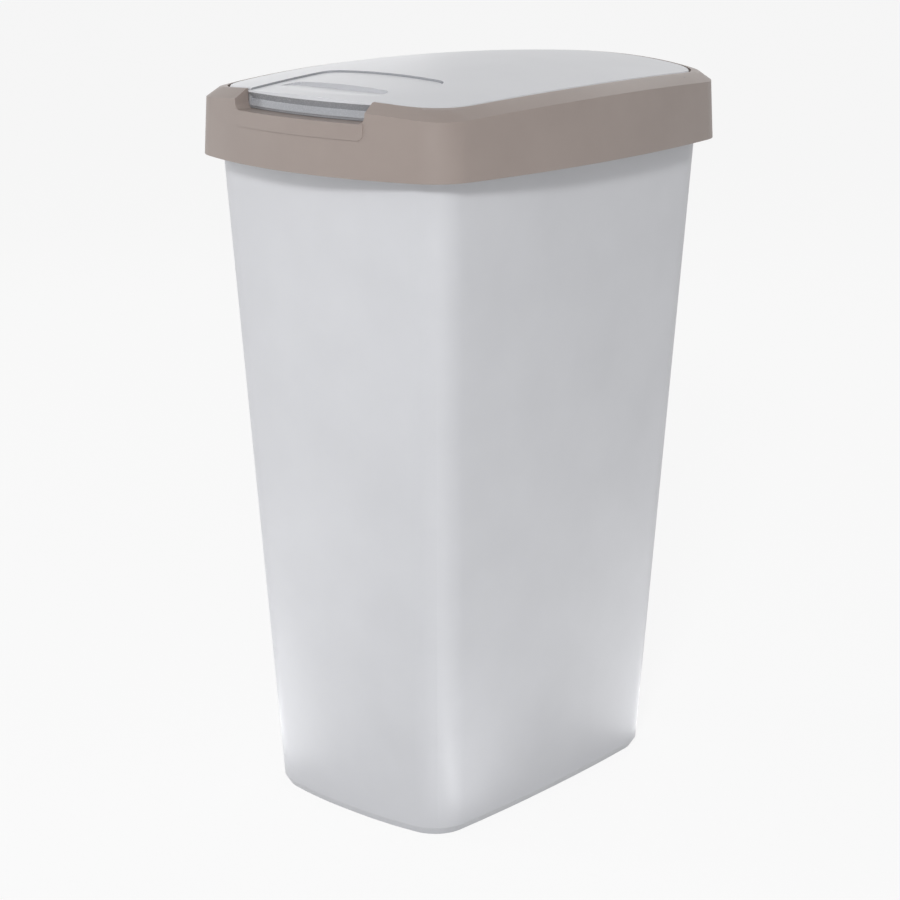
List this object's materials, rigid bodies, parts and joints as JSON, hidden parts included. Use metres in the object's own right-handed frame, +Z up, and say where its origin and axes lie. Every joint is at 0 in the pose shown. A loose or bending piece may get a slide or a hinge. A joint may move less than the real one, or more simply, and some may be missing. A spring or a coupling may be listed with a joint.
{
  "type": "waste bin",
  "caption": "Tall kitchen waste bin: tapered bowed tub, overhanging lift-off rim frame and a domed lid that flips up by a lip in the front finger notch",
  "frame": {"origin": "Middle of the bin's footprint, on the floor", "axes": "X runs across the width, Y along the depth with the finger notch at -Y, Z is up"},
  "size_m": [0.288, 0.397, 0.6],
  "materials": {
    "tub_plastic": "silver-grey satin moulded plastic with a fine grain",
    "frame_plastic": "taupe satin moulded plastic",
    "lid_plastic": "silver-grey satin moulded plastic",
    "pin_plastic": "natural grey moulded plastic"
  },
  "bodies": {
    "tub": {"tub": "tub_plastic"},
    "frame": {"rim_frame": "frame_plastic"},
    "lid": {"lid": "lid_plastic", "left_hinge_pin": "pin_plastic", "right_hinge_pin": "pin_plastic"}
  },
  "joints": [
    {"name": "frame_lift", "type": "slide", "parent": "tub", "child": "frame", "axis": [0, 0, 1], "range_m": [0, 0.09]},
    {"name": "lid_hinge", "type": "hinge", "parent": "frame", "child": "lid", "pos_m": [0, 0.122, 0.58328], "axis": [-1, 0, 0], "range_deg": [0, 100]}
  ]
}
